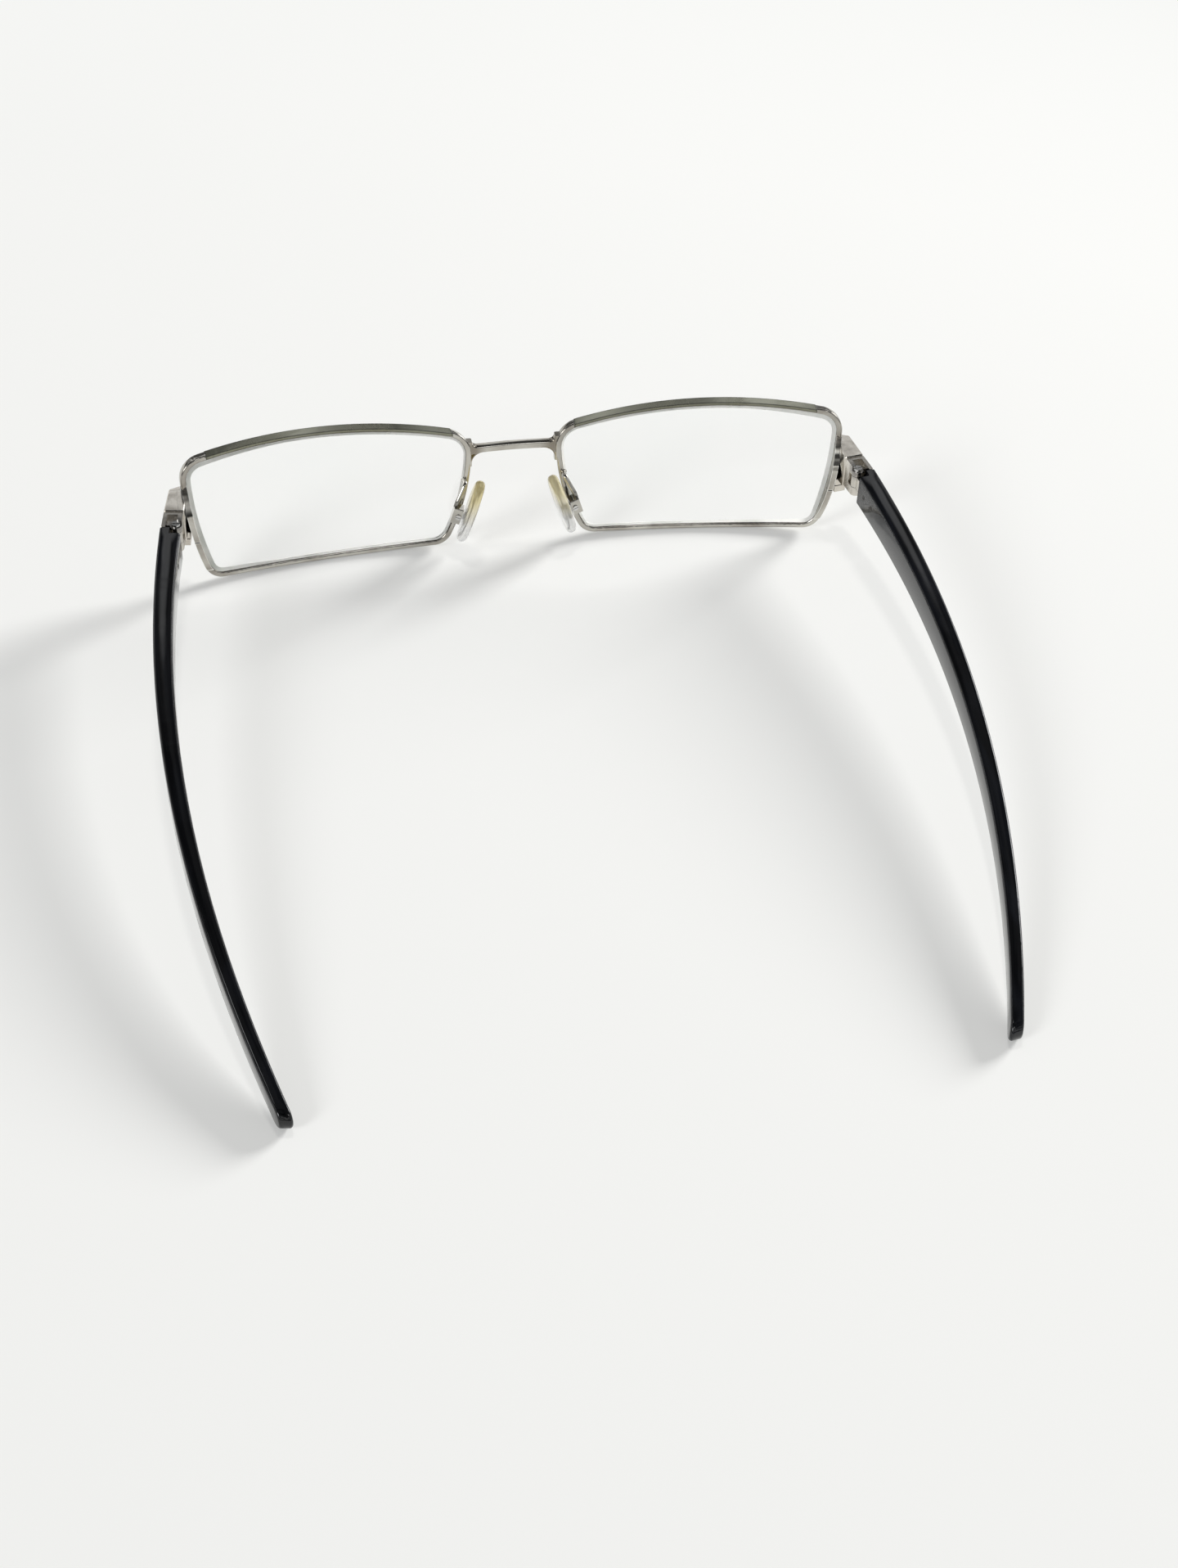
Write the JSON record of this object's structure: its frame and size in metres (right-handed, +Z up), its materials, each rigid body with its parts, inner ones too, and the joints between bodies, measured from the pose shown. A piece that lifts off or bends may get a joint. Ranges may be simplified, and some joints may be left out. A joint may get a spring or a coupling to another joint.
{
  "type": "rectangular eyeglasses",
  "caption": "Rectangular full-rim eyeglasses with thin metal rims, clear lenses, silicone nose pads and curved black acetate temples that fold inward on screw hinges.",
  "frame": {"origin": "on the table under the middle of the glasses, in the mirror plane between the two sides", "axes": "+X to the wearer's left, +Y from the front to the temple tips, +Z up"},
  "size_m": [0.1452, 0.15, 0.0278],
  "materials": {
    "gunmetal": "polished dark grey plating",
    "dark_bar": "dark satin lacquer",
    "nickel": "polished nickel",
    "screw_steel": "bright turned steel",
    "core_steel": "drawn wire",
    "acetate": "polished",
    "silicone": "clear, slightly yellowed",
    "lens": "clear polished"
  },
  "bodies": {
    "front": {"left_rim": "gunmetal", "right_rim": "gunmetal", "left_brow_bar": "dark_bar", "right_brow_bar": "dark_bar", "left_lens": "lens", "right_lens": "lens", "left_end_piece": "nickel", "right_end_piece": "nickel", "left_rim_lock_upper": "nickel", "right_rim_lock_upper": "nickel", "left_rim_lock_lower": "nickel", "right_rim_lock_lower": "nickel", "left_front_hinge": "nickel", "right_front_hinge": "nickel", "left_pad_arm": "gunmetal", "right_pad_arm": "gunmetal", "left_pad_box": "gunmetal", "right_pad_box": "gunmetal", "bridge": "gunmetal", "hinge_screws": "screw_steel", "rim_lock_screws": "screw_steel", "pad_screws": "screw_steel"},
    "left_arm": {"left_temple": "acetate", "left_temple_core": "core_steel", "left_temple_hinge": "nickel", "left_hinge_rivets": "screw_steel"},
    "left_pad": {"left_nose_pad": "silicone", "left_pad_stud": "screw_steel"},
    "right_arm": {"right_temple": "acetate", "right_temple_core": "core_steel", "right_temple_hinge": "nickel", "right_hinge_rivets": "screw_steel"},
    "right_pad": {"right_nose_pad": "silicone", "right_pad_stud": "screw_steel"}
  },
  "joints": [
    {"name": "left_temple_hinge", "type": "hinge", "parent": "front", "child": "left_arm", "pos_m": [0.0663, -0.05843, 0.016], "axis": [0, 0, 1], "range_deg": [0, 87]},
    {"name": "right_temple_hinge", "type": "hinge", "parent": "front", "child": "right_arm", "pos_m": [-0.0663, -0.05843, 0.016], "axis": [0, 0, -1], "range_deg": [0, 82]},
    {"name": "left_pad_rock", "type": "hinge", "parent": "front", "child": "left_pad", "pos_m": [0.0115, -0.06793, 0.0086], "axis": [0.182, 0.9816, 0.0574], "range_deg": [-8, 8]},
    {"name": "right_pad_rock", "type": "hinge", "parent": "front", "child": "right_pad", "pos_m": [-0.0115, -0.06793, 0.0086], "axis": [-0.182, 0.9816, 0.0574], "range_deg": [-8, 8]}
  ]
}
